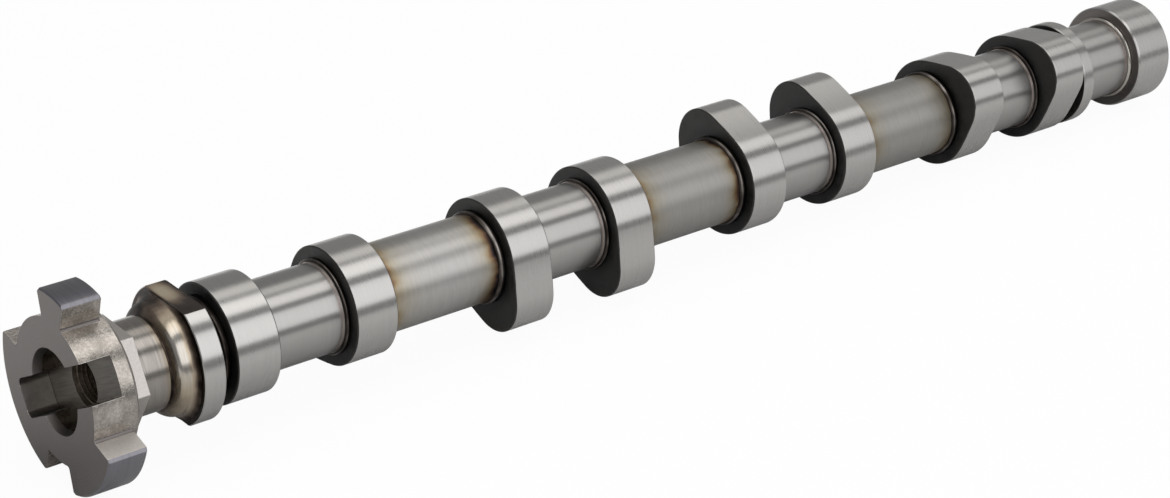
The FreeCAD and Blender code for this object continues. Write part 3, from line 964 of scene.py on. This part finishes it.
def threadTree():
    tree, given = newShapeTree("boltThread", ("Start", "Length", "Pitch", "Radius", "Ridge"), False)
    turns = addNode(tree, "Math", {0: given["Length"], 1: given["Pitch"]}, operation="DIVIDE")
    helix = addNode(tree, "GeometryNodeCurveSpiral", {"Resolution": thread["pointsPerTurn"],
                    "Rotations": turns, "Start Radius": given["Radius"], "End Radius": given["Radius"],
                    "Height": given["Length"]})
    section = addNode(tree, "GeometryNodeCurvePrimitiveCircle", {"Resolution": 3, "Radius": given["Ridge"]})
    ridge = addNode(tree, "GeometryNodeCurveToMesh", {0: helix, 1: section, "Fill Caps": True})
    offset = addNode(tree, "CombineXYZ", {0: given["Start"]})
    laid = addNode(tree, "GeometryNodeTransform", {0: ridge, "Translation": offset,
                   "Rotation": (0, math.pi / 2, 0)})
    real = addNode(tree, "GeometryNodeRealizeInstances", {0: laid})
    done = addNode(tree, "GeometryNodeSetMaterial", {0: real, "Material": finishes["thread"]})
    addNode(tree, "NodeGroupOutput", {0: done})
    return tree


def makeThread():
    piece = newObject("boltThread", bpy.data.meshes.new("boltThread"))
    # a triangle as deep as the thread has its corners at two thirds of that from its middle
    shapedBy(piece, threadTree(), {"Start": thread["start"], "Length": thread["length"],
             "Pitch": thread["pitch"], "Radius": stub["hole"], "Ridge": thread["depth"] * 2 / 3})
    closeUp(piece.data)
    finishPiece(piece, "drive_stub", None, thread["sharp"])


finishes = makeFinishes()
print("materials made", len(finishes))
makeTube()
makeLobes()
print("tube and lobes made")
makeCornerWelds()
makeStubWeld()
makeRing("thrustDisc", "thrust_disc", discEnds, thrustDisc)
makeRing("endRing", "end_ring", endRingEnds, endRing)
makeCollar()
print("welds and rings made")
makeStub()
makeThread()
print("drive stub made")


# Stage: a pale floor, soft strip lights along the shaft and the photograph's camera, in metres

paper = {
    "half": 6.0, "colour": "#ededed", "glow": 0.95,
    # painted reflection, the floor's colour for glossy rays only: from a greyer zone in front, past painted
    # shade under the shaft, to white at the back
    "mirroredSpan": (-0.3, 0.1),
    "mirrored": ((0.14, "#8f8f8f"), (0.34, "#f2f2f2"), (0.57, "#ececec"), (0.63, "#e2e2e2"),
                 (0.69, "#d6d6d6"), (0.76, "#c6c6c6"), (0.94, "#ffffff")),
}
strips = (
    {"name": "sideStrip", "angle": 150.3, "width": 0.78, "radiance": 1.52, "fade": 0.58, "colour": "#fffefe"},
    {"name": "topStrip", "angle": 101.0, "width": 0.46, "radiance": 1.85, "fade": 0.45, "colour": "#fffdfb"},
    {"name": "farStrip", "angle": 67.7, "width": 0.38, "radiance": 1.05, "fade": 0.7, "colour": "#fffcf7"},
    {"name": "backStrip", "angle": 27.0, "width": 0.55, "radiance": 0.03, "fade": 8.0, "colour": "#fffcf7"},
)
stripRow = {"length": 2.3, "distance": 1.0, "middle": (0.2, 0, 0.02), "fadeSpan": (0.3, 1.25)}
worldGrey = 0.33
camera = {
    "position": (-0.44149, -0.50890, 0.35734), "down": 27.775, "heading": 38.946, "roll": 1.041,
    "lens": 82.83, "sensor": 36.0, "nearest": 0.01,
}


def makeFloor():
    material, tree = newMaterial("matte_paper")
    rays = addNode(tree, "LightPath").outputs
    where = addNode(tree, "TexCoord").outputs["Object"]
    across = addNode(tree, "SeparateXYZ", {0: where}).outputs[1]
    nearSide, farSide = paper["mirroredSpan"]
    share = addNode(tree, "MapRange", {0: across, 1: nearSide, 2: farSide})
    # glossy rays see the painted reflection and painted shade instead of the paper's colour
    paintedReflection = addNode(tree, "ValToRGB", {0: share}, paper["mirrored"])
    ground = addNode(tree, "Mix", {0: rays["Is Glossy Ray"], 6: linear(paper["colour"]), 7: paintedReflection},
                     data_type="RGBA").outputs[2]
    matt = addNode(tree, "BsdfPrincipled", {"Base Color": ground, "Roughness": 1.0,
                   "Specular IOR Level": 0.0})
    # the camera sees white paper that keeps a faint shadow
    seen = addNode(tree, "Math", {0: rays["Is Camera Ray"], 1: paper["glow"]}, operation="MULTIPLY")
    white = addNode(tree, "Emission", {0: (1, 1, 1, 1), 1: 1.0})
    both = addNode(tree, "MixShader", {0: seen, 1: matt, 2: white})
    addNode(tree, "OutputMaterial", {0: both})
    half = paper["half"]
    mesh = bpy.data.meshes.new("floor")
    mesh.from_pydata([(-half, -half, 0), (half, -half, 0), (half, half, 0), (-half, half, 0)], [],
                     [(0, 1, 2, 3)])
    mesh.materials.append(material)
    newObject("floor", mesh)


def makeLights():
    length = stripRow["length"]
    middle = Vector(stripRow["middle"])
    fadeFrom, fadeTo = ((x - middle.x) / length + 0.5 for x in stripRow["fadeSpan"])
    for strip in strips:
        light = bpy.data.lights.new(strip["name"], "AREA")
        light.shape = "RECTANGLE"
        light.size = length
        light.size_y = strip["width"]
        light.energy = strip["radiance"] * math.pi * length * strip["width"]
        light.color = linear(strip["colour"])[:3]
        # the strip changes to its fade's share of its radiance towards the far end of the shaft
        light.use_nodes = True
        tree = light.node_tree
        tree.nodes.clear()
        along = addNode(tree, "NewGeometry").outputs["Parametric"]
        share = addNode(tree, "SeparateXYZ", {0: along})
        level = addNode(tree, "MapRange", {0: share, 1: fadeFrom, 2: fadeTo, 3: 1.0, 4: strip["fade"]})
        glow = addNode(tree, "Emission", {1: level})
        addNode(tree, "OutputLight", {0: glow})
        lamp = newObject(strip["name"], light)
        out = spot(0, 1, strip["angle"])
        sideways = Vector((1, 0, 0))
        lamp.location = middle + out * stripRow["distance"]
        lamp.rotation_euler = Matrix((sideways, out.cross(sideways), out)).transposed().to_euler()
    world = bpy.data.worlds.new("studio")
    world.use_nodes = True
    bpy.context.scene.world = world
    tree = world.node_tree
    tree.nodes.clear()
    seen = addNode(tree, "LightPath").outputs["Is Camera Ray"]
    strength = addNode(tree, "Mix", {0: seen, 2: worldGrey, 3: 1.0})
    sky = addNode(tree, "Background", {0: (1, 1, 1, 1), 1: strength})
    addNode(tree, "OutputWorld", {0: sky})


def makeCamera():
    lens = bpy.data.cameras.new("camera")
    lens.lens = camera["lens"]
    lens.sensor_width = camera["sensor"]
    lens.sensor_fit = "HORIZONTAL"
    lens.clip_start = camera["nearest"]
    view = newObject("camera", lens)
    turn = Matrix.Rotation(math.radians(-camera["heading"]), 4, "Z")
    turn = turn @ Matrix.Rotation(math.radians(90 - camera["down"]), 4, "X")
    turn = turn @ Matrix.Rotation(math.radians(camera["roll"]), 4, "Z")
    view.matrix_world = Matrix.Translation(camera["position"]) @ turn
    bpy.context.scene.camera = view


makeFloor()
makeLights()
makeCamera()
bpy.context.scene.view_settings.view_transform = "Standard"
print("stage made")
